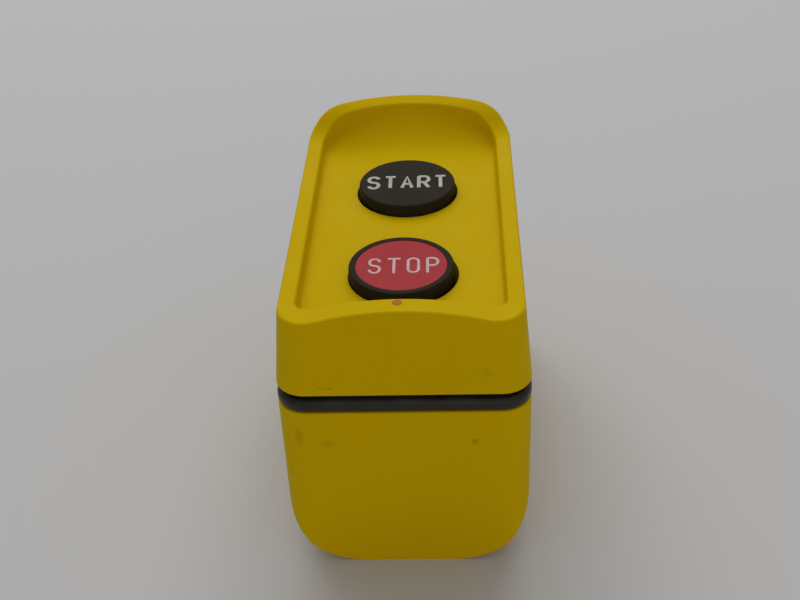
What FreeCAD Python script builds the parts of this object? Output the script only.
import FreeCAD, Part

import math
import os

import Sketcher

# Two-button pendant control station, lying on its back.
# Frame: origin at the middle of the flat back face, +Z out through the buttons,
# +Y towards the cable entry, +X to the right. Millimetres throughout.

doc = FreeCAD.newDocument("pendant_station")
sheet = doc.addObject("Spreadsheet::Sheet", "sizes")

SIZES = [
    # enclosure
    ("body_width", 71.0, "width of housing and cover at the seam"),
    ("body_length", 128.0, "length at the seam"),
    ("housing_height", 57.0, "back face to housing rim"),
    ("wall", 3.0, "wall of housing and cover"),
    ("near_radius", 8.5, "plan corner radius at the lower end"),
    ("far_radius", 15.0, "plan corner radius at the cable end"),
    ("bow_radius", 75.0, "plan radius of the bowed cable end"),
    ("back_radius", 22.0, "rounding along the back's long edges"),
    ("seam_edge", 0.5, "rounding of both mouldings' edges at the seam"),
    ("gasket_band", 6.0, "visible height of the cover gasket"),
    ("gasket_width", 5.0, "gasket section, outside to inside"),
    ("gasket_neck", 2.0, "depth of the neck above the gasket's bead"),
    ("gasket_bead", 4.2, "height of the gasket's bead"),
    ("bead_round", 1.65, "rounding of the bead's edges"),
    # front cover
    ("skirt", 18.5, "cover's lower edge to the tray floor"),
    ("draft_angle", 5.0, "draft of the cover's walls, degrees"),
    ("rim_rise", 4.3, "tray floor to the flat rim"),
    ("rim_width", 4.7, "width of the rim beside the tray"),
    ("rim_edge", 0.8, "rounding of the rim's edges"),
    ("well_rise", 6.0, "collar around each button hole, below the ceiling"),
    ("well_wall", 2.1, "wall of that collar"),
    ("boss_root", 9.0, "the cover's screw bosses run this far above its ceiling"),
    ("lip_width", 7.4, "width of the lip below the tray"),
    ("crown_rise", 3.4, "rise of the lip's crown above the rim"),
    ("crown_half_span", 27.0, "half of the crown's span"),
    ("crown_blend", 18.0, "radius where the crown meets the rim"),
    ("tray_near_radius", 3.5, "plan corner radius of the tray by the lip"),
    ("tray_far_radius", 13.0, "plan corner radius of the tray by the hood"),
    ("tray_draft", 10.0, "draft of the tray's walls, degrees"),
    ("tray_fillet", 1.2, "rounding between tray wall and floor"),
    ("scoop_radius", 15.0, "hollow of the hood, side view"),
    ("scoop_reach", 0.8, "the hollow's round runs this far past the hood's inner face"),
    ("hood_rim_width", 5.4, "rim of the hood at the cable end"),
    ("hood_run", 20.5, "length over which the rim climbs to the hood"),
    ("hood_low_radius", 14.0, "hollow bend where the rim starts to climb"),
    ("hood_high_radius", 16.0, "round bend at the top of the hood"),
    ("hood_climb", 42.0, "steepest slope of the rim, degrees"),
    ("hood_top_slope", 15.0, "slope of the rim at the hood's end, degrees"),
    # buttons
    ("button_radius", 15.0, "button cap"),
    ("button_gap", 0.85, "radial gap between cap and its hole"),
    ("button_pitch", 47.7, "START to STOP"),
    ("start_place", 15.5, "START axis from the middle of the body"),
    ("cap_proud", 3.5, "cap's face above the tray floor"),
    ("cap_depth", 9.0, "whole height of a cap"),
    ("cap_top", 3.0, "thickness of a cap's face"),
    ("cap_skirt", 1.9, "thickness of a cap's skirt"),
    ("cap_socket", 1.4, "wall of the socket under a cap"),
    ("socket_lift", 1.0, "socket's mouth above the foot of the skirt"),
    ("clip_fit", 0.02, "radial gap of a part that clips on"),
    ("cap_edge", 0.6, "rounding of a cap's edge"),
    ("disc_radius", 13.0, "coloured disc of the STOP cap"),
    ("disc_depth", 1.0, "thickness of that disc"),
    ("disc_sunk", 0.15, "disc's face below the cap's edge"),
    ("travel", 3.0, "button travel"),
    ("cap_play", 0.5, "play of a clipped-on cap about its plunger"),
    # plunger, bush, spring and boot
    ("rod_radius", 4.0, "plunger"),
    ("running_gap", 0.08, "radial gap of a running fit"),
    ("bush_radius", 7.0, "threaded part of the guide bush"),
    ("bush_flange_radius", 11.0, "flange of the guide bush"),
    ("bush_flange", 1.5, "thickness of that flange"),
    ("bush_length", 8.0, "bush below its flange"),
    ("nut_height", 3.0, "ring nut of the bush"),
    ("nut_radius", 10.0, "ring nut, across corners"),
    ("clip_radius", 6.2, "retaining clip on the plunger"),
    ("clip_height", 1.2, "thickness of the clip"),
    ("return_wire", 0.9, "wire of the return spring"),
    ("return_radius", 7.2, "mean radius of the return spring"),
    ("return_turns", 4.5, "turns of the return spring"),
    ("boot_wall", 1.0, "wall of the rubber boot, measured level"),
    ("boot_inner", 8.6, "inner radius of the boot's folds"),
    ("boot_fold", 2.6, "depth of the boot's folds"),
    # mounting plate
    ("plate_drop", 11.5, "tray floor to the plate's upper face"),
    ("plate_thick", 2.0, "plate"),
    ("plate_width", 54.0, "plate"),
    ("plate_margin", 13.0, "plate beyond each button axis"),
    ("plate_post_x", 22.5, "plate screws from the centre line"),
    ("plate_post_y", 20.0, "plate screws from the middle of the plate"),
    ("plate_post_radius", 3.2, "cover's posts for the plate"),
    ("small_screw", 1.5, "radius of an M3 screw"),
    ("small_head", 2.75, "head radius of an M3 screw"),
    ("small_head_height", 2.0, "head height of an M3 screw"),
    ("small_play", 0.1, "radial gap around an M3 screw"),
    ("plate_screw_grip", 4.5, "thread of a plate screw in its post"),
    # contact blocks
    ("block_top_drop", 14.0, "plate's underside to the block's top"),
    ("block_height", 20.0, "block without its lid"),
    ("block_half_length", 24.0, "block along X"),
    ("block_half_width", 11.0, "block along Y"),
    ("block_ceiling", 2.0, "block's wall above its chamber"),
    ("chamber_half_length", 13.0, "chamber along X"),
    ("chamber_half_width", 6.0, "chamber along Y"),
    ("lid_thick", 2.0, "block's lid"),
    ("lid_half_length", 15.5, "lid along X"),
    ("pillar_x", 14.5, "block's pillars from the plunger axis"),
    ("pillar_radius", 3.2, "block's pillars"),
    ("pillar_grip", 7.0, "thread of a block screw in its pillar"),
    ("pillar_bore", 12.0, "depth of a pillar's thread"),
    ("entry_play", 0.4, "radial gap where the plunger enters the block"),
    ("strip_play", 0.1, "gap beside a fixed contact strip"),
    ("pocket_play", 1.5, "room beside a terminal"),
    ("terminal_grip", 6.0, "terminal screw beyond its strip"),
    ("spigot_radius", 2.0, "thin lower end of the plunger"),
    ("spigot_foot_radius", 3.2, "foot of the plunger"),
    ("spigot_foot", 1.5, "height of that foot"),
    ("shoulder_depth", 4.0, "block's top down to the plunger's shoulder"),
    ("start_bridge_depth", 9.0, "block's top down to the START bridge"),
    ("stop_bridge_depth", 11.0, "block's top down to the STOP bridge"),
    ("stop_spring_room", 4.0, "contact spring under the STOP bridge"),
    ("bridge_half_length", 11.5, "moving contact bridge"),
    ("bridge_half_width", 2.6, "moving contact bridge"),
    ("bridge_thick", 1.2, "moving contact bridge"),
    ("tip_radius", 1.8, "contact tips"),
    ("tip_height", 0.8, "contact tips"),
    ("tip_x", 9.2, "contact tips from the plunger axis"),
    ("contact_gap", 0.2, "gap left between closed tips"),
    ("strip_thick", 1.0, "fixed contact strip"),
    ("strip_half_width", 3.0, "fixed contact strip"),
    ("strip_start", 7.0, "inner end of the strip from the axis"),
    ("terminal_x", 20.5, "terminal screw from the plunger axis"),
    ("contact_wire", 0.5, "wire of the contact spring"),
    ("contact_spring_radius", 2.8, "mean radius of the contact spring"),
    ("contact_turns", 3.5, "turns of the contact spring"),
    # cover screws
    ("screw_x", 24.3, "cover screws from the centre line"),
    ("screw_near", 13.0, "cover screws from the lower end"),
    ("screw_far", 17.5, "cover screws from the cable end"),
    ("post_radius", 5.5, "housing's screw posts"),
    ("post_rise", 3.0, "posts above the housing's rim"),
    ("screw_seat", 30.0, "back face to the screw head's seat"),
    ("head_bore", 4.0, "counterbore of a cover screw"),
    ("cover_screw", 2.0, "radius of an M4 screw"),
    ("cover_head", 3.5, "head radius of an M4 screw"),
    ("cover_head_height", 4.0, "head height of an M4 screw"),
    ("screw_bore", 2.4, "clearance hole for an M4 screw"),
    ("screw_grip", 5.0, "cover screw beyond the cover's lower edge"),
    ("insert_radius", 3.0, "brass insert in the cover"),
    ("insert_length", 9.0, "brass insert"),
    # cable gland
    ("gland_height", 30.0, "gland axis above the back"),
    ("gland_boss", 17.0, "radius of the flat boss on the end wall"),
    ("gland_boss_rise", 2.0, "gland boss beyond the bowed end"),
    ("gland_thread", 10.0, "radius of the gland's M20 thread"),
    ("gland_washer", 1.5, "sealing washer"),
    ("gland_hex", 14.0, "hexagon radius of the gland"),
    ("gland_hex_length", 6.0, "hexagon of the gland body"),
    ("gland_neck", 9.5, "outer thread under the dome nut"),
    ("gland_neck_length", 9.0, "outer thread under the dome nut"),
    ("gland_nut_length", 15.0, "dome nut"),
    ("gland_cable", 6.0, "cable hole of the seal"),
    ("nut_flats", 9.0, "length of the dome nut's hexagon"),
    ("nut_shoulder", 9.75, "length of the dome nut up to its cone"),
    ("nut_round", 12.0, "radius of the dome nut's round part"),
    ("nut_mouth", 7.0, "mouth of the dome nut"),
    ("nut_lip", 1.5, "rim of the dome nut's mouth"),
    ("boss_depth", 6.0, "gland boss inside the bowed end"),
    ("gland_seal_wall", 1.8, "wall of the seal"),
    ("locknut_length", 5.0, "locknut inside the housing"),
    ("thread_end", 1.0, "thread beyond the locknut"),
    # earth terminal
    ("earth_place", 26.0, "earth boss from the cable end"),
    ("earth_boss_radius", 5.0, "earth boss"),
    ("earth_boss_rise", 8.0, "earth boss above the housing floor"),
    ("earth_washer", 1.0, "cup washer of the earth screw"),
    ("earth_washer_radius", 4.5, "cup washer of the earth screw"),
    ("earth_grip", 7.0, "thread of the earth screw"),
    # how far a cutting tool runs past the face it opens, and a boss into the wall it joins
    ("past", 1.0, "overrun of a tool"),
]

for row, (alias, size, note) in enumerate(SIZES, start=1):
    sheet.set("A%d" % row, note)
    sheet.set("B%d" % row, str(size))
    sheet.setAlias("B%d" % row, alias)
doc.recompute()

SIZE_NAMES = sorted((alias for alias, size, note in SIZES), key=len, reverse=True)


def full(expression):
    """Put the sheet's name before each alias in an expression."""
    words = []
    word = ""
    for letter in str(expression) + " ":
        if letter.isalnum() or letter == "_":
            word += letter
            continue
        words.append("sizes." + word if word in SIZE_NAMES else word)
        words.append(letter)
        word = ""
    return "".join(words).strip()


def value(expression):
    """Work out an expression from the sheet's present sizes."""
    return float(sheet.evalExpression(full(expression)))


def bind(item, bindings):
    """Tie an object's properties to the sheet."""
    for name, expression in bindings.items():
        item.setExpression(name, full(expression))


def place(item, x="0", y="0", z="0"):
    bind(item, {"Placement.Base.x": x, "Placement.Base.y": y, "Placement.Base.z": z})


# Heights and places that several pieces share, as expressions of the sizes.
COVER_EDGE = "(housing_height + gasket_band)"
FLOOR = "(housing_height + gasket_band + skirt)"
RIM = "(housing_height + gasket_band + skirt + rim_rise)"
HALF_WIDTH = "(body_width / 2)"
NEAR = "(0 - body_length / 2)"
FAR = "(body_length / 2)"
CEILING = "(housing_height + gasket_band + skirt - wall)"
PLATE_TOP = "(housing_height + gasket_band + skirt - plate_drop)"
PLATE_BOTTOM = "(housing_height + gasket_band + skirt - plate_drop - plate_thick)"
BLOCK_TOP = "(%s - block_top_drop)" % PLATE_BOTTOM
BLOCK_BOTTOM = "(%s - block_height)" % BLOCK_TOP
CAP_FACE = "(%s + cap_proud)" % FLOOR
CAP_INSIDE = "(%s - cap_top)" % CAP_FACE
BUSH_TOP = "(%s + bush_flange)" % PLATE_TOP
BUSH_END = "(%s - bush_length)" % PLATE_TOP
POST_TOP = "(housing_height + post_rise)"
SHANK = "(housing_height + gasket_band + screw_grip - screw_seat)"
START_Y = "start_place"
STOP_Y = "(start_place - button_pitch)"
MIDDLE_Y = "(start_place - button_pitch / 2)"
SCREW_PLACES = [
    (side + " * screw_x", end)
    for end in (NEAR + " + screw_near", FAR + " - screw_far")
    for side in ("-1", "1")
]
ROUND = {"X": (0, 1, 0, 90), "Y": (1, 0, 0, -90), "Z": (0, 0, 1, 0)}


def turned(along):
    x, y, z, angle = ROUND[along]
    return FreeCAD.Rotation(FreeCAD.Vector(x, y, z), angle)


# ---------------------------------------------------------------- primitives

def box(name, x0, x1, y0, y1, z0, z1):
    """A block between two opposite corners."""
    item = doc.addObject("Part::Box", name)
    bind(item, {"Length": "(%s) - (%s)" % (x1, x0), "Width": "(%s) - (%s)" % (y1, y0),
                "Height": "(%s) - (%s)" % (z1, z0)})
    place(item, x0, y0, z0)
    return item


def cylinder(name, radius, length, x="0", y="0", z="0", along="Z"):
    item = doc.addObject("Part::Cylinder", name)
    bind(item, {"Radius": radius, "Height": length})
    item.Placement.Rotation = turned(along)
    place(item, x, y, z)
    return item


def hexagon(name, radius, length, x="0", y="0", z="0", along="Z"):
    item = doc.addObject("Part::Prism", name)
    item.Polygon = 6
    bind(item, {"Circumradius": radius, "Height": length})
    item.Placement.Rotation = turned(along)
    place(item, x, y, z)
    return item


def cut(name, base, tools):
    """Take the tools away from the base, one Part::Cut each. The last cut carries the name."""
    for count, tool in enumerate(tools, start=1):
        item = doc.addObject("Part::Cut", name if count == len(tools) else name + "_before_cut")
        item.Base = base
        item.Tool = tool
        base = item
    return base


def fuse(name, pieces):
    item = doc.addObject("Part::MultiFuse", name)
    item.Shapes = pieces
    item.Refine = True
    return item


def common(name, first, second):
    item = doc.addObject("Part::MultiCommon", name)
    item.Shapes = [first, second]
    return item


def group(name, pieces):
    item = doc.addObject("Part::Compound", name)
    item.Links = pieces
    return item


# ------------------------------------------------------------------ sketches

def constrain(sketch, kind, *terms):
    return sketch.addConstraint(Sketcher.Constraint(kind, *terms))


def size_constraint(sketch, kind, terms, expression):
    """A dimension of a sketch that follows the sheet."""
    index = constrain(sketch, kind, *terms, value(expression))
    sketch.setExpression("Constraints[%d]" % index, full(expression))


def pin_point(sketch, geometry, end, x, y):
    """Fix a sketch point at two expressions from the sketch's origin."""
    size_constraint(sketch, "DistanceX", (-1, 1, geometry, end), x)
    size_constraint(sketch, "DistanceY", (-1, 1, geometry, end), y)


def polygon(sketch, points):
    """A closed outline of straight lines through pairs of expressions."""
    spots = [FreeCAD.Vector(value(x), value(y), 0) for x, y in points]
    count = len(spots)
    for index in range(count):
        sketch.addGeometry(Part.LineSegment(spots[index], spots[(index + 1) % count]))
    for index in range(count):
        constrain(sketch, "Coincident", index, 2, (index + 1) % count, 1)
    for index, (x, y) in enumerate(points):
        pin_point(sketch, index, 1, x, y)


def new_body(label):
    body = doc.addObject("PartDesign::Body", label)
    body.Label = label
    return body


def body_sketch(body, name, role):
    sketch = body.newObject("Sketcher::SketchObject", name)
    plane = [item for item in body.Origin.OriginFeatures if item.Role == role][0]
    sketch.AttachmentSupport = [(plane, "")]
    sketch.MapMode = "FlatFace"
    return sketch


def turned_body(label, points):
    """A body of revolution about its own Z axis, from (radius, height) expressions."""
    body = new_body(label)
    sketch = body_sketch(body, label + "_section", "XZ_Plane")
    polygon(sketch, points)
    turn = body.newObject("PartDesign::Revolution", label + "_turn")
    turn.Profile = sketch
    turn.ReferenceAxis = (sketch, ["V_Axis"])
    turn.Angle = 360
    body.Tip = turn
    return body


def plan_outline(name, height, inset="0", near=None, far=None, near_radius=None, far_radius=None):
    """Outline seen along Z: straight lower end, rounded corners, bowed cable end."""
    half = "(%s - (%s))" % (HALF_WIDTH, inset)
    near = near or "(%s + (%s))" % (NEAR, inset)
    far = far or "(%s - (%s))" % (FAR, inset)
    near_radius = near_radius or "near_radius"
    far_radius = far_radius or "far_radius"
    w, y0, y1 = value(half), value(near), value(far)
    rn, rf, bow = value(near_radius), value(far_radius), value("bow_radius")
    bow_y = y1 - bow
    corner_y = bow_y + math.sqrt((bow - rf) ** 2 - (w - rf) ** 2)
    lean = math.atan2(corner_y - bow_y, w - rf)
    spot = FreeCAD.Vector
    up = spot(0, 0, 1)
    quarter = math.pi / 2
    right, left = spot(w - rf, corner_y, 0), spot(rf - w, corner_y, 0)
    near_right, near_left = spot(w - rn, y0 + rn, 0), spot(rn - w, y0 + rn, 0)

    def arc(centre, radius, start, end):
        return Part.ArcOfCircle(Part.Circle(centre, up, radius), start, end)

    sketch = doc.addObject("Sketcher::SketchObject", name)
    for edge in (
        Part.LineSegment(spot(rn - w, y0, 0), spot(w - rn, y0, 0)),
        arc(near_right, rn, -quarter, 0),
        Part.LineSegment(spot(w, y0 + rn, 0), spot(w, corner_y, 0)),
        arc(right, rf, 0, lean),
        arc(spot(0, bow_y, 0), bow, lean, math.pi - lean),
        arc(left, rf, math.pi - lean, math.pi),
        Part.LineSegment(spot(-w, corner_y, 0), spot(-w, y0 + rn, 0)),
        arc(near_left, rn, math.pi, math.pi + quarter),
    ):
        sketch.addGeometry(edge)
    for index in range(8):
        constrain(sketch, "Tangent", index, 2, (index + 1) % 8, 1)
    constrain(sketch, "Horizontal", 0)
    constrain(sketch, "Vertical", 2)
    constrain(sketch, "Vertical", 6)
    constrain(sketch, "Equal", 1, 7)
    constrain(sketch, "Equal", 3, 5)
    constrain(sketch, "PointOnObject", 4, 3, -2)
    size_constraint(sketch, "Radius", (1,), near_radius)
    size_constraint(sketch, "Radius", (3,), far_radius)
    size_constraint(sketch, "Radius", (4,), "bow_radius")
    size_constraint(sketch, "DistanceX", (-1, 1, 2, 1), half)
    size_constraint(sketch, "DistanceX", (-1, 1, 6, 1), "0 - " + half)
    size_constraint(sketch, "DistanceY", (-1, 1, 0, 1), near)
    size_constraint(sketch, "DistanceY", (-1, 1, 4, 3), "%s - bow_radius" % far)
    place(sketch, z=height)
    return sketch


def loft(name, low, high):
    item = doc.addObject("Part::Loft", name)
    item.Sections = [low, high]
    item.Solid = True
    item.Ruled = True
    return item


def extruded(name, sketch, direction, length, back="0"):
    """A sketch pushed along a direction, and backwards too where asked."""
    item = doc.addObject("Part::Extrusion", name)
    item.Base = sketch
    item.DirMode = "Custom"
    item.Dir = FreeCAD.Vector(*direction)
    item.Solid = True
    bind(item, {"LengthFwd": length, "LengthRev": back})
    return item


def outline_edges(points):
    """Edges through (x, y) points, each with the numbers of its first and last end.

    A point with a centre and a radius after it is reached by the short arc about that centre.
    """
    edges = []
    for before, point in zip(points, points[1:]):
        start = FreeCAD.Vector(before[0], before[1], 0)
        end = FreeCAD.Vector(point[0], point[1], 0)
        if len(point) == 2:
            edges.append((Part.LineSegment(start, end), 1, 2))
            continue
        centre, radius = FreeCAD.Vector(*point[2]), point[3]
        ends = [math.atan2(spot.y - centre.y, spot.x - centre.x) for spot in (start, end)]
        forward = (ends[1] - ends[0]) % (2 * math.pi) < math.pi
        low, high = ends if forward else ends[::-1]
        if high < low:
            high += 2 * math.pi
        circle = Part.Circle(centre, FreeCAD.Vector(0, 0, 1), radius)
        edges.append((Part.ArcOfCircle(circle, low, high),) + ((1, 2) if forward else (2, 1)))
    return edges


def side_sketch(name, points, plane):
    """A closed outline on the XZ or YZ plane from numbers that come from the sheet."""
    sketch = doc.addObject("Sketcher::SketchObject", name)
    edges = outline_edges(points + [points[0][:2]])
    for edge, first, last in edges:
        sketch.addGeometry(edge)
    for index, (edge, first, last) in enumerate(edges):
        following = (index + 1) % len(edges)
        constrain(sketch, "Coincident", index, last, following, edges[following][1])
        constrain(sketch, "Block", index)
    turn = {"XZ": FreeCAD.Rotation(1, 0, 0, 1), "YZ": FreeCAD.Rotation(1, 1, 1, 1)}[plane]
    sketch.Placement = FreeCAD.Placement(FreeCAD.Vector(0, 0, 0), turn)
    return sketch


# --------------------------------------------------------------- front cover

def drafted(height):
    """Inset of the cover's outside at a height above its lower edge."""
    return "((%s) - %s) * tan(draft_angle)" % (height, COVER_EDGE)


def rim_profile():
    """Side view of what is cut away above the rim: flat, hollow bend, round bend, slope."""
    rim = value(RIM)
    far_rim = value("%s - %s" % (FAR, drafted(RIM)))
    start = far_rim - value("hood_run")
    low, high = value("hood_low_radius"), value("hood_high_radius")
    climb = math.radians(value("hood_climb"))
    slope = math.radians(value("hood_top_slope"))
    lip_end = value(LIP_END)
    bend = (start + low * math.sin(climb), rim + low * (1 - math.cos(climb)))
    round_centre = (bend[0] + high * math.sin(climb), bend[1] - high * math.cos(climb))
    crest = (round_centre[0] - high * math.sin(slope), round_centre[1] + high * math.cos(slope))
    beyond = (value(FAR) + high, crest[1] + (value(FAR) + high - crest[0]) * math.tan(slope))
    clear = value(COVER_TOP) + low
    outside = value(NEAR) - low
    lip_top = value("%s + crown_rise + past" % RIM)
    return [
        (outside, lip_top), (lip_end, lip_top), (lip_end, rim), (start, rim),
        bend + ((start, rim + low, 0), low),
        crest + (round_centre + (0,), high),
        beyond, (beyond[0], clear), (outside, clear),
    ]


def crown_profile():
    """End view of what is cut away above the lip: a low arch that blends into the rim."""
    rim, span, rise = value(RIM), value("crown_half_span"), value("crown_rise")
    blend = value("crown_blend")
    arch = (span ** 2 + rise ** 2 - 2 * blend * rise) / (2 * rise)
    side, clear = value("body_width"), value(COVER_TOP) + blend
    share = blend / (arch + blend)
    join_x, join_z = span * (1 - share), rim + blend + share * (rise - arch - blend)
    return [
        (-side, rim), (-span, rim),
        (-join_x, join_z, (-span, rim + blend, 0), blend),
        (join_x, join_z, (0, rim + rise - arch, 0), arch),
        (span, rim, (span, rim + blend, 0), blend),
        (side, rim), (side, clear), (-side, clear),
    ]


def scoop_profile():
    """Side view of the tray: flat floor, then a quarter round up to the hood."""
    radius, bottom = value("scoop_radius"), value(FLOOR)
    front, clear = value(NEAR) - radius, value(COVER_TOP) + radius
    centre = (value(SCOOP_START), bottom + radius, 0)
    return [
        (front, bottom), (centre[0], bottom),
        (centre[0] + radius, centre[1], centre, radius),
        (centre[0] + radius, clear), (front, clear),
    ]


def core_profile():
    """Side view of the hollow behind the hood, one wall away from the tray's scoop."""
    radius = value("scoop_radius + wall")
    cap = value(RIM + " + wall")
    below = value(CEILING + " - past")
    centre = (value(SCOOP_START), value(FLOOR + " + scoop_radius"), 0)
    cap_y = centre[0] + math.sqrt(radius ** 2 - (centre[1] - cap) ** 2)
    beyond = value(FAR) + radius
    return [
        (centre[0], below), (centre[0], value(CEILING)),
        (cap_y, cap, centre, radius), (beyond, cap), (beyond, below),
    ]


COVER_TOP = "(%s + hood_run)" % RIM
LIP_INNER = "(%s + %s + lip_width)" % (NEAR, drafted(RIM))
LIP_END = "(%s + tray_near_radius)" % LIP_INNER
TRAY_FAR = "(%s - %s - hood_rim_width)" % (FAR, drafted(RIM + " + rim_rise"))
SCOOP_START = "(%s + scoop_reach - scoop_radius)" % TRAY_FAR
BUTTONS = {"start": START_Y, "stop": STOP_Y}
PLATE_POSTS = [
    (side + " * plate_post_x", MIDDLE_Y + end)
    for end in (" - plate_post_y", " + plate_post_y")
    for side in ("-1", "1")
]


def inner_outline(name, height, draft):
    """The enclosure's outline one wall further in."""
    return plan_outline(name, height, inset="wall + " + draft, near_radius="near_radius - wall",
                        far_radius="far_radius - wall")


def make_front_cover():
    outside = loft("cover_outside",
                   plan_outline("cover_foot", COVER_EDGE),
                   plan_outline("cover_head", COVER_TOP, inset=drafted(COVER_TOP)))
    inside = loft("cover_inside",
                  inner_outline("cover_foot_inside", COVER_EDGE + " - past", "0"),
                  inner_outline("cover_ceiling", CEILING, drafted(CEILING)))
    behind = loft("cover_behind",
                  inner_outline("behind_foot", CEILING + " - past", drafted(CEILING)),
                  inner_outline("behind_head", COVER_TOP, drafted(COVER_TOP)))
    core = common("cover_core", behind,
                  extruded("core_side", side_sketch("core_side_view", core_profile(), "YZ"),
                           (1, 0, 0), "body_width", "body_width"))
    shell = cut("cover_shell", outside, [inside, core])
    bosses = [
        cylinder("cover_boss", "post_radius", "%s + boss_root - %s" % (CEILING, POST_TOP), x, y, POST_TOP)
        for x, y in SCREW_PLACES
    ]
    bosses += [
        cylinder("plate_post", "plate_post_radius", "%s + past - %s" % (CEILING, PLATE_TOP),
                 x, y, PLATE_TOP)
        for x, y in PLATE_POSTS
    ]
    bosses += [
        cylinder("button_well", "button_radius + button_gap + well_wall", "well_rise + past",
                 "0", y, CEILING + " - well_rise")
        for y in BUTTONS.values()
    ]
    solid = fuse("cover_solid", [shell] + bosses)

    tray_inset = "%s + rim_width" % drafted(RIM)
    tray_rise = COVER_TOP + " - " + FLOOR
    widening = "(%s) * tan(tray_draft)" % tray_rise
    floor_inset = "%s + rim_rise * tan(tray_draft)" % tray_inset
    tray_plan = loft(
        "tray_plan",
        plan_outline("tray_foot", FLOOR, inset=floor_inset,
                     near=LIP_INNER + " + rim_rise * tan(tray_draft)", far=TRAY_FAR,
                     near_radius="tray_near_radius", far_radius="tray_far_radius"),
        plan_outline("tray_head", COVER_TOP, inset="%s - %s" % (floor_inset, widening),
                     near="%s + rim_rise * tan(tray_draft) - %s" % (LIP_INNER, widening), far=TRAY_FAR,
                     near_radius="tray_near_radius", far_radius="tray_far_radius"))
    tray_side = side_sketch("tray_side_view", scoop_profile(), "YZ")
    tray = common("tray", tray_plan,
                  extruded("tray_side", tray_side, (1, 0, 0), "body_width", "body_width"))
    rim = extruded("above_rim", side_sketch("rim_side_view", rim_profile(), "YZ"),
                   (1, 0, 0), "body_width", "body_width")
    crown_view = side_sketch("crown_end_view", crown_profile(), "XZ")
    place(crown_view, y=LIP_END)
    crown = extruded("above_crown", crown_view, (0, -1, 0), "body_length")
    solid = cut("cover_top", solid, [rim, crown, tray])
    solid = rounded("cover_rounded", solid, [
        ("rim_edge", lambda edge: flat_at(edge, value(RIM)) and long_edge(edge)),
        ("tray_fillet", lambda edge: flat_at(edge, value(FLOOR)) and long_edge(edge)),
        ("seam_edge", lambda edge: flat_at(edge, value(COVER_EDGE)) and outer_edge(edge)),
    ])
    holes = [
        cylinder("button_hole", "button_radius + button_gap", "wall + well_rise + 2 * past", "0", y,
                 CEILING + " - well_rise - past")
        for y in BUTTONS.values()
    ]
    holes += [
        cylinder("insert_hole", "insert_radius", "insert_length + 2 * past", x, y, POST_TOP + " - past")
        for x, y in SCREW_PLACES
    ]
    holes += [
        cylinder("plate_screw_hole", "small_screw", "plate_screw_grip + 2 * past", x, y,
                 PLATE_TOP + " - past")
        for x, y in PLATE_POSTS
    ]
    return cut("front_cover", solid, holes)


# -------------------------------------------------------------- rear housing

def trough_profile(inset, floor, radius, top):
    """End view of the housing: two upright sides and a flat back with large rounds."""
    half = value("%s - (%s)" % (HALF_WIDTH, inset))
    low, turn, high = value(floor), value(radius), value(top)
    return [
        (-half, high), (-half, low + turn),
        (turn - half, low, (turn - half, low + turn, 0), turn),
        (half - turn, low),
        (half, low + turn, (half - turn, low + turn, 0), turn),
        (half, high),
    ]


def trough(name, inset, floor, radius, near_radius, far_radius, top):
    plan = extruded(name + "_plan",
                    plan_outline(name + "_outline", floor, inset=inset,
                                 near_radius=near_radius, far_radius=far_radius),
                    (0, 0, 1), "(%s) - (%s)" % (top, floor))
    end = extruded(name + "_end", side_sketch(name + "_end_view",
                                              trough_profile(inset, floor, radius, top), "XZ"),
                   (0, 1, 0), "body_length", "body_length")
    return common(name, plan, end)


def make_rear_housing():
    outer = trough("housing_outside", "0", "0", "back_radius", "near_radius", "far_radius",
                   "housing_height")
    outer = rounded("housing_rounded", outer, [
        ("seam_edge", lambda edge: flat_at(edge, value("housing_height")) and long_edge(edge)),
    ])
    inner = trough("housing_inside", "wall", "wall", "back_radius - wall", "near_radius - wall",
                   "far_radius - wall", "housing_height + past")
    shell = cut("housing_shell", outer, [inner])
    posts = [
        cylinder("screw_post", "post_radius", POST_TOP, x, y, "0")
        for x, y in SCREW_PLACES
    ]
    inside = trough("post_limit", "0", "0", "back_radius", "near_radius", "far_radius", POST_TOP)
    posts = common("screw_posts", fuse("post_group", posts), inside)
    end_boss = cylinder("gland_boss", "gland_boss", "boss_depth + gland_boss_rise",
                        "0", FAR + " - boss_depth", "gland_height", "Y")
    earth = cylinder("earth_boss", "earth_boss_radius", "earth_boss_rise + past",
                     "0", FAR + " - earth_place", "wall - past")
    solid = fuse("housing_solid", [shell, posts, end_boss, earth])
    holes = [cylinder("gland_hole", "gland_thread", "boss_depth + gland_boss_rise + 2 * past", "0",
                      FAR + " - boss_depth - past", "gland_height", "Y")]
    holes.append(cylinder("earth_hole", "cover_screw", "earth_grip + past", "0",
                          FAR + " - earth_place", "wall + earth_boss_rise - earth_grip"))
    for x, y in SCREW_PLACES:
        holes.append(cylinder("head_hole", "head_bore", "screw_seat + past", x, y, "0 - past"))
        holes.append(cylinder("shank_hole", "screw_bore", "housing_height", x, y,
                              "screw_seat - past"))
    return cut("rear_housing", solid, holes)


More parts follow.
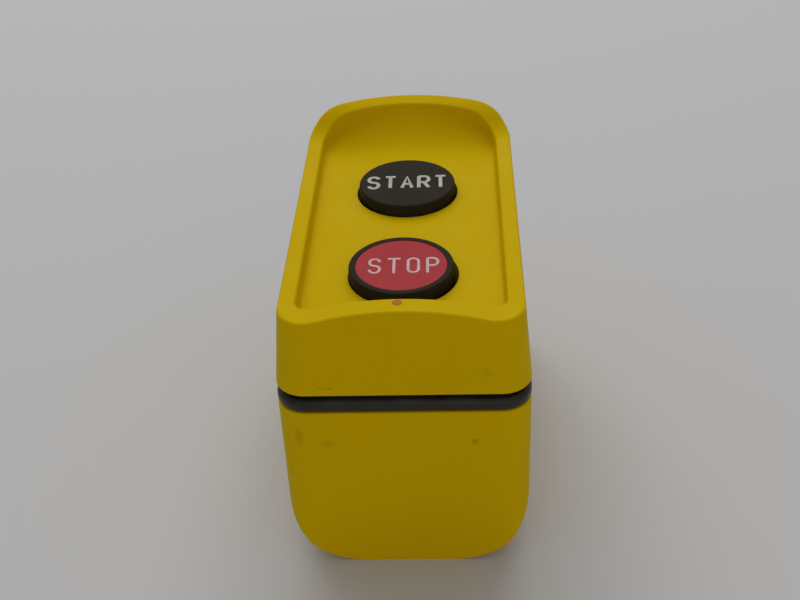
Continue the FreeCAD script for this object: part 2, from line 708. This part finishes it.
def make_gasket():
    """Rubber ring between housing and cover: a round bead with a narrower neck above it."""
    def ring(name, low, high, inset):
        outline = plan_outline(name + "_outline", low, inset=inset,
                               near_radius="near_radius - (%s)" % inset,
                               far_radius="far_radius - (%s)" % inset)
        return extruded(name, outline, (0, 0, 1), "(%s) - (%s)" % (high, low))

    bead = ring("gasket_bead", "housing_height", "housing_height + gasket_bead", "0")
    neck = ring("gasket_neck", "housing_height + gasket_bead / 2", COVER_EDGE, "gasket_neck")
    low, high = value("housing_height"), value("housing_height + gasket_bead")
    bead = rounded("gasket_round", bead, [
        ("bead_round", lambda edge: flat_at(edge, low) or flat_at(edge, high)),
    ])
    inside = plan_outline("gasket_inside_outline", "housing_height - past", inset="gasket_width",
                          near_radius="near_radius - gasket_width",
                          far_radius="far_radius - gasket_width")
    hollow = extruded("gasket_inside", inside, (0, 0, 1), "gasket_band + 2 * past")
    return cut("cover_gasket", fuse("gasket_rings", [bead, neck]), [hollow])


# ------------------------------------------------------------------- fillets

SLACK = 0.01  # how near an edge lies to a height or a side that it is picked by


def flat_at(edge, height):
    bounds = edge.BoundBox
    return abs(bounds.ZMin - height) < SLACK and abs(bounds.ZMax - height) < SLACK


def long_edge(edge):
    """True for an edge that runs along most of the enclosure's side."""
    return edge.BoundBox.YLength > value("body_length / 2")


def outer_edge(edge):
    """True for an edge on the outside of the seam's long sides."""
    bounds = edge.BoundBox
    return abs(abs(bounds.XMin) - value(HALF_WIDTH)) < SLACK and long_edge(edge)


def rounded(name, base, choices):
    """Part::Fillet with a radius for each test; it runs on along edges that meet smoothly."""
    doc.recompute()
    item = doc.addObject("Part::Fillet", name)
    item.Base = base
    item.Edges = [
        (index, value(radius), value(radius))
        for index, edge in enumerate(base.Shape.Edges, start=1)
        for radius, wanted in choices
        if wanted(edge)
    ]
    return item


def body_fillet(body, radius, wanted):
    """PartDesign fillet on the edges of a body that a test picks."""
    doc.recompute()
    tip = body.Tip
    item = body.newObject("PartDesign::Fillet", body.Label + "_rounding")
    item.Base = (tip, [
        "Edge%d" % index
        for index, edge in enumerate(tip.Shape.Edges, start=1)
        if wanted(edge)
    ])
    bind(item, {"Radius": radius})
    body.Tip = item
    return body


# ------------------------------------------------------------------- buttons

def move_to(body, x="0", y="0", z="0", along="Z"):
    body.Placement.Rotation = turned(along)
    place(body, x, y, z)
    return body


def make_cap(label, x, y, face):
    """A black cap: face, skirt and a socket that clips over the plunger."""
    foot = "%s - cap_depth" % CAP_FACE
    socket = "rod_radius + cap_play + clip_fit"
    body = turned_body(label, face + [
        ("button_radius", foot),
        ("button_radius - cap_skirt", foot),
        ("button_radius - cap_skirt", CAP_INSIDE),
        (socket + " + cap_socket", CAP_INSIDE),
        (socket + " + cap_socket", foot + " + socket_lift"),
        (socket, foot + " + socket_lift"),
        (socket, CAP_INSIDE),
        ("0", CAP_INSIDE),
    ])
    top, edge_radius = value(CAP_FACE), value("button_radius")
    body_fillet(body, "cap_edge", lambda edge: (
        flat_at(edge, top) and abs(edge.BoundBox.XMax - edge_radius) < SLACK))
    return move_to(body, x, y)


HELIX_SEGMENT = 0.5  # turns of a spring in one face


def make_spring(label, wire, mean, turns, low, high, x, y):
    """A coil of round wire between two heights."""
    rise = "(%s) - (%s) - %s" % (high, low, wire)
    helix = doc.addObject("Part::Helix", label + "_line")
    bind(helix, {"Radius": mean, "Height": rise, "Pitch": "(%s) / %s" % (rise, turns)})
    helix.SegmentLength = HELIX_SEGMENT
    section = doc.addObject("Part::Circle", label + "_wire")
    bind(section, {"Radius": wire + " / 2", "Placement.Base.x": mean})
    section.Placement.Rotation = turned("Y")
    coil = doc.addObject("Part::Sweep", label)
    coil.Sections = [section]
    coil.Spine = (helix, [])
    coil.Solid = True
    coil.Frenet = True
    place(coil, x, y, "(%s) + %s / 2" % (low, wire))
    return coil


def make_plunger(label, foot_top, y):
    shoulder = BLOCK_TOP + " - shoulder_depth"
    return move_to(turned_body(label, [
        ("0", CAP_INSIDE),
        ("rod_radius", CAP_INSIDE),
        ("rod_radius", shoulder),
        ("spigot_radius", shoulder),
        ("spigot_radius", foot_top),
        ("spigot_foot_radius", foot_top),
        ("spigot_foot_radius", foot_top + " - spigot_foot"),
        ("0", foot_top + " - spigot_foot"),
    ]), "0", y)


def make_bush(label, y):
    bore = "rod_radius + running_gap"
    return move_to(turned_body(label, [
        (bore, BUSH_END),
        ("bush_radius", BUSH_END),
        ("bush_radius", PLATE_TOP),
        ("bush_flange_radius", PLATE_TOP),
        ("bush_flange_radius", BUSH_TOP),
        (bore, BUSH_TOP),
    ]), "0", y)


def make_clip(label, y):
    top = BUSH_END + " - running_gap"
    return move_to(turned_body(label, [
        ("rod_radius", top),
        ("clip_radius", top),
        ("clip_radius", top + " - clip_height"),
        ("rod_radius", top + " - clip_height"),
    ]), "0", y)


BOOT_FOLDS = 2


def make_boot(label, y):
    """Rubber bellows with two folds, between the bush's flange and the cap."""
    room = "(%s - %s)" % (CAP_INSIDE, BUSH_TOP)
    inside = [
        ("boot_inner + boot_fold * %d" % (step % 2),
         "%s + %s * %d / %d" % (BUSH_TOP, room, step, 2 * BOOT_FOLDS))
        for step in range(2 * BOOT_FOLDS + 1)
    ]
    outside = [(radius + " + boot_wall", height) for radius, height in inside]
    return move_to(turned_body(label, outside + inside[::-1]), "0", y)


def make_bush_nut(label, y):
    nut = hexagon(label + "_blank", "nut_radius", "nut_height", "0", y,
                  PLATE_BOTTOM + " - nut_height")
    hole = cylinder(label + "_hole", "bush_radius", "nut_height + 2 * past", "0", y,
                    PLATE_BOTTOM + " - nut_height - past")
    return cut(label, nut, [hole])


# ------------------------------------------------------------ contact blocks

def make_contact_body(label, y, strip):
    """Moulded block: chamber for the bridge, a pocket and a slot at each terminal."""
    blank = box(label + "_blank", "0 - block_half_length", "block_half_length",
                y + " - block_half_width", y + " + block_half_width", BLOCK_BOTTOM, BLOCK_TOP)
    pillars = [
        cylinder(label + "_pillar", "pillar_radius", "block_top_drop + past",
                 side + " * pillar_x", y, BLOCK_TOP + " - past")
        for side in ("-1", "1")
    ]
    tools = [
        box(label + "_chamber", "0 - chamber_half_length", "chamber_half_length",
            y + " - chamber_half_width", y + " + chamber_half_width",
            BLOCK_BOTTOM + " - past", BLOCK_TOP + " - block_ceiling"),
        cylinder(label + "_entry", "rod_radius + entry_play", "block_ceiling + 2 * past", "0", y,
                 BLOCK_TOP + " - block_ceiling - past"),
        box(label + "_slot", "0 - block_half_length - past", "block_half_length + past",
            y + " - strip_half_width - strip_play", y + " + strip_half_width + strip_play",
            strip, strip + " + strip_thick + strip_play"),
    ]
    for side in ("-1", "1"):
        middle = side + " * (block_half_length + terminal_x) / 2"
        reach = "(block_half_length - terminal_x) / 2 + small_head + past"
        tools.append(box(label + "_pocket", middle + " - (%s)" % reach, middle + " + " + reach,
                         y + " - strip_half_width - pocket_play",
                         y + " + strip_half_width + pocket_play",
                         BLOCK_BOTTOM + " - past", strip + " + clip_fit"))
        tools.append(cylinder(label + "_thread", "small_screw", "terminal_grip + past",
                              side + " * terminal_x", y, strip))
        tools.append(cylinder(label + "_pillar_thread", "small_screw", "pillar_bore",
                              side + " * pillar_x", y, PLATE_BOTTOM + " - pillar_bore"))
    return cut(label, fuse(label + "_solid", [blank] + pillars), tools)


def make_fixed_contacts(label, y, strip, tip_low):
    pieces = []
    for side in ("-1", "1"):
        middle = side + " * (block_half_length + strip_start) / 2"
        reach = "(block_half_length - strip_start) / 2"
        blank = box(label + "_strip", middle + " - " + reach, middle + " + " + reach,
                    y + " - strip_half_width", y + " + strip_half_width",
                    strip, strip + " + strip_thick")
        tip = cylinder(label + "_tip", "tip_radius", "tip_height", side + " * tip_x", y, tip_low)
        hole = cylinder(label + "_hole", "small_screw + running_gap", "strip_thick + 2 * past",
                        side + " * terminal_x", y, strip + " - past")
        pieces.append(cut(label + "_piece", fuse(label + "_joined", [blank, tip]), [hole]))
    return group(label, pieces)


def make_bridge(label, y, low, tip_low):
    blank = box(label + "_bar", "0 - bridge_half_length", "bridge_half_length",
                y + " - bridge_half_width", y + " + bridge_half_width",
                low, low + " + bridge_thick")
    tips = [
        cylinder(label + "_tip", "tip_radius", "tip_height", side + " * tip_x", y, tip_low)
        for side in ("-1", "1")
    ]
    hole = cylinder(label + "_hole", "spigot_radius + running_gap", "bridge_thick + 2 * past", "0", y,
                    low + " - past")
    return cut(label, fuse(label + "_joined", [blank] + tips), [hole])


def screw(name, x, y, seat, shank, length, head, head_height, up=True):
    """A screw whose head sits against a seat; the shank points up or down from it."""
    room = "(%s)" % seat
    if up:
        head_low, shank_low, socket_low = room + " - " + head_height, room, room + " - " + head_height
    else:
        head_low, shank_low = room, room + " - (%s)" % length
        socket_low = room + " + %s / 2" % head_height
    top = cylinder(name + "_head", head, head_height, x, y, head_low)
    rod = cylinder(name + "_shank", shank, length, x, y, shank_low)
    socket = hexagon(name + "_socket", head + " / 2", head_height + " / 2", x, y, socket_low)
    return cut(name + "_whole", fuse(name + "_joined", [top, rod]), [socket])


def make_contacts(button, y):
    """The contact block under one button. START closes on a press; STOP opens."""
    closes = button == "start"
    bridge = "(%s - %s_bridge_depth)" % (BLOCK_TOP, button)
    if closes:
        foot_top = bridge
        tip_low = bridge + " - tip_height"
        fixed_tip_low = tip_low + " - travel - contact_gap - tip_height"
        strip = "(%s - strip_thick)" % fixed_tip_low
        spring_low, spring_high = bridge + " + bridge_thick", BLOCK_TOP + " - shoulder_depth"
    else:
        foot_top = bridge + " - stop_spring_room"
        tip_low = bridge + " + bridge_thick"
        fixed_tip_low = tip_low + " + tip_height + contact_gap"
        strip = "(%s + tip_height)" % fixed_tip_low
        spring_low, spring_high = foot_top, bridge
    lid = box(button + "_contact_lid", "0 - lid_half_length", "lid_half_length",
              y + " - block_half_width", y + " + block_half_width",
              BLOCK_BOTTOM + " - lid_thick", BLOCK_BOTTOM)
    terminals = [
        screw(button + "_terminal_screw", side + " * terminal_x", y, strip, "small_screw",
              "strip_thick + terminal_grip", "small_head", "small_head_height")
        for side in ("-1", "1")
    ]
    fixings = [
        screw(button + "_block_screw", side + " * pillar_x", y, PLATE_TOP, "small_screw",
              "plate_thick + pillar_grip", "small_head", "small_head_height", up=False)
        for side in ("-1", "1")
    ]
    return [
        make_plunger(button + "_plunger", foot_top, y),
        make_contact_body(button + "_contact_body", y, strip),
        lid,
        make_fixed_contacts(button + "_fixed_contacts", y, strip, fixed_tip_low),
        make_bridge(button + "_contact_bridge", y, bridge, tip_low),
        make_spring(button + "_contact_spring", "contact_wire", "contact_spring_radius",
                    "contact_turns", spring_low, spring_high, "0", y),
        group(button + "_terminal_screws", terminals),
        group(button + "_block_screws", fixings),
    ]


def make_button(button, y):
    disc_seat = "%s - disc_sunk - disc_depth" % CAP_FACE
    if button == "stop":
        pocket = "disc_radius + running_gap"
        face = [("0", disc_seat), (pocket, disc_seat), (pocket, CAP_FACE),
                ("button_radius", CAP_FACE)]
        shift = "0 - cap_play"
    else:
        face = [("0", CAP_FACE), ("button_radius", CAP_FACE)]
        shift = "0"
    pieces = [
        make_cap(button + "_cap", shift, y, face),
        make_boot(button + "_boot", y),
        make_spring(button + "_return_spring", "return_wire", "return_radius", "return_turns",
                    BUSH_TOP, CAP_INSIDE, "0", y),
        make_bush(button + "_guide_bush", y),
        make_bush_nut(button + "_bush_nut", y),
        make_clip(button + "_plunger_clip", y),
    ]
    if button == "stop":
        pieces.append(move_to(turned_body("stop_disc", [
            ("0", disc_seat),
            ("disc_radius", disc_seat),
            ("disc_radius", disc_seat + " + disc_depth"),
            ("0", disc_seat + " + disc_depth"),
        ]), shift, y))
    return pieces + make_contacts(button, y)


# ---------------------------------------------------- plate, screws and gland

def make_mounting_plate():
    blank = box("plate_blank", "0 - plate_width / 2", "plate_width / 2",
                STOP_Y + " - plate_margin", START_Y + " + plate_margin", PLATE_BOTTOM, PLATE_TOP)
    holes = []
    for y in BUTTONS.values():
        holes.append(cylinder("bush_hole", "bush_radius", "plate_thick + 2 * past", "0", y,
                              PLATE_BOTTOM + " - past"))
        for side in ("-1", "1"):
            holes.append(cylinder("block_screw_hole", "small_screw + small_play",
                                  "plate_thick + 2 * past", side + " * pillar_x", y,
                                  PLATE_BOTTOM + " - past"))
    for x, y in PLATE_POSTS:
        holes.append(cylinder("post_screw_hole", "small_screw + small_play",
                              "plate_thick + 2 * past", x, y, PLATE_BOTTOM + " - past"))
    return cut("mounting_plate", blank, holes)


def make_screws():
    cover = [
        screw("cover_screw", x, y, "screw_seat", "cover_screw", SHANK, "cover_head",
              "cover_head_height")
        for x, y in SCREW_PLACES
    ]
    plate = [
        screw("plate_screw", x, y, PLATE_BOTTOM, "small_screw", "plate_thick + plate_screw_grip",
              "small_head", "small_head_height")
        for x, y in PLATE_POSTS
    ]
    inserts = [
        cut("insert_whole",
            cylinder("insert_blank", "insert_radius", "insert_length", x, y, POST_TOP),
            [cylinder("insert_thread", "cover_screw", "insert_length + 2 * past", x, y,
                      POST_TOP + " - past")])
        for x, y in SCREW_PLACES
    ]
    seat = "wall + earth_boss_rise"
    washer = cut("earth_washer",
                 cylinder("washer_blank", "earth_washer_radius", "earth_washer", "0",
                          FAR + " - earth_place", seat),
                 [cylinder("washer_hole", "screw_bore", "earth_washer + 2 * past", "0",
                           FAR + " - earth_place", seat + " - past")])
    earth = screw("earth", "0", FAR + " - earth_place", seat + " + earth_washer", "cover_screw",
                  "earth_grip", "cover_head", "cover_head_height / 2", up=False)
    return [
        group("cover_screws", cover),
        group("plate_screws", plate),
        group("cover_inserts", inserts),
        washer,
        group("earth_screw", [earth]),
    ]


def make_gland():
    """M20 cable gland at the cable end: washer, body, seal, dome nut and locknut."""
    axis = "gland_height"
    face = "(%s + gland_boss_rise)" % FAR
    inner_face = "(%s - boss_depth)" % FAR
    thread_low = "(%s - locknut_length - thread_end)" % inner_face
    hex_low = "(%s + gland_washer)" % face
    neck_low = "(%s + gland_hex_length)" % hex_low
    neck_high = "(%s + gland_neck_length)" % neck_low
    bore = "gland_cable + gland_seal_wall"
    washer = move_to(turned_body("gland_washer", [
        ("gland_thread", "0"), ("gland_hex", "0"),
        ("gland_hex", "gland_washer"), ("gland_thread", "gland_washer"),
    ]), "0", face, axis, "Y")
    body = fuse("gland_body_solid", [
        hexagon("gland_hexagon", "gland_hex", "gland_hex_length", "0", hex_low, axis, "Y"),
        cylinder("gland_shank", "gland_thread", "%s - %s" % (hex_low, thread_low),
                 "0", thread_low, axis, "Y"),
        cylinder("gland_neck", "gland_neck", "gland_neck_length + past", "0",
                 neck_low + " - past", axis, "Y"),
    ])
    body = cut("gland_body", body, [
        cylinder("gland_bore", bore, "%s - %s + 2 * past" % (neck_high, thread_low), "0",
                 thread_low + " - past", axis, "Y")])
    seal = move_to(turned_body("gland_seal", [
        ("gland_cable", "0"), (bore, "0"),
        (bore, "gland_hex_length + gland_neck_length"),
        ("gland_cable", "gland_hex_length + gland_neck_length"),
    ]), "0", hex_low, axis, "Y")
    nut = fuse("gland_nut_solid", [
        hexagon("nut_hexagon", "gland_hex", "nut_flats", "0", neck_low, axis, "Y"),
        move_to(turned_body("nut_dome", [
            ("0", "0"), ("nut_round", "0"), ("nut_round", "nut_shoulder"),
            ("nut_mouth + nut_lip", "gland_nut_length"), ("0", "gland_nut_length"),
        ]), "0", neck_low, axis, "Y"),
    ])
    nut = cut("gland_nut", nut, [
        cylinder("nut_thread", "gland_neck", "gland_neck_length + past", "0", neck_low + " - past",
                 axis, "Y"),
        cylinder("nut_opening", "nut_mouth", "gland_nut_length + 2 * past", "0",
                 neck_low + " - past", axis, "Y"),
    ])
    locknut = cut("gland_locknut",
                  hexagon("locknut_blank", "gland_hex", "locknut_length", "0",
                          inner_face + " - locknut_length", axis, "Y"),
                  [cylinder("locknut_hole", "gland_thread", "locknut_length + 2 * past", "0",
                            inner_face + " - locknut_length - past", axis, "Y")])
    return [washer, body, seal, nut, locknut]


# ---------------------------------------------------------------- the object

pieces = [make_front_cover(), make_rear_housing(), make_gasket(), make_mounting_plate()]
for button, y in BUTTONS.items():
    pieces += make_button(button, y)
pieces += make_screws() + make_gland()

NODES = [
    "front_cover", "rear_housing", "cover_gasket", "mounting_plate",
    "cover_screws", "plate_screws", "cover_inserts", "earth_washer", "earth_screw",
    "gland_washer", "gland_body", "gland_seal", "gland_nut", "gland_locknut", "stop_disc",
]
for button in BUTTONS:
    NODES += [button + "_" + part for part in (
        "cap", "boot", "return_spring", "guide_bush", "bush_nut", "plunger_clip", "plunger",
        "contact_body", "contact_lid", "fixed_contacts", "contact_bridge", "contact_spring",
        "terminal_screws", "block_screws")]

doc.recompute()
faults = [item.Name for item in doc.Objects if "Invalid" in item.State or "Error" in item.State]
if faults:
    raise SystemExit("objects that failed: " + ", ".join(faults))

finished = {}
for piece in pieces:
    shape = piece.Shape
    if shape.isNull() or not shape.isValid() or not shape.Solids:
        raise SystemExit("no sound solid in " + piece.Label)
    node = piece.Label
    if node not in NODES or node in finished:
        raise SystemExit("unexpected piece " + node)
    finished[node] = shape
missing = sorted(set(NODES) - set(finished))
if missing:
    raise SystemExit("pieces not made: " + ", ".join(missing))

os.makedirs("parts", exist_ok=True)
for node, shape in sorted(finished.items()):
    shape.exportStep("parts/%s.step" % node)
    bounds = shape.BoundBox
    print("%-22s %2d solids %10.1f mm3  x %6.1f %6.1f  y %6.1f %6.1f  z %6.1f %6.1f" % (
        node, len(shape.Solids), shape.Volume, bounds.XMin, bounds.XMax,
        bounds.YMin, bounds.YMax, bounds.ZMin, bounds.ZMax))
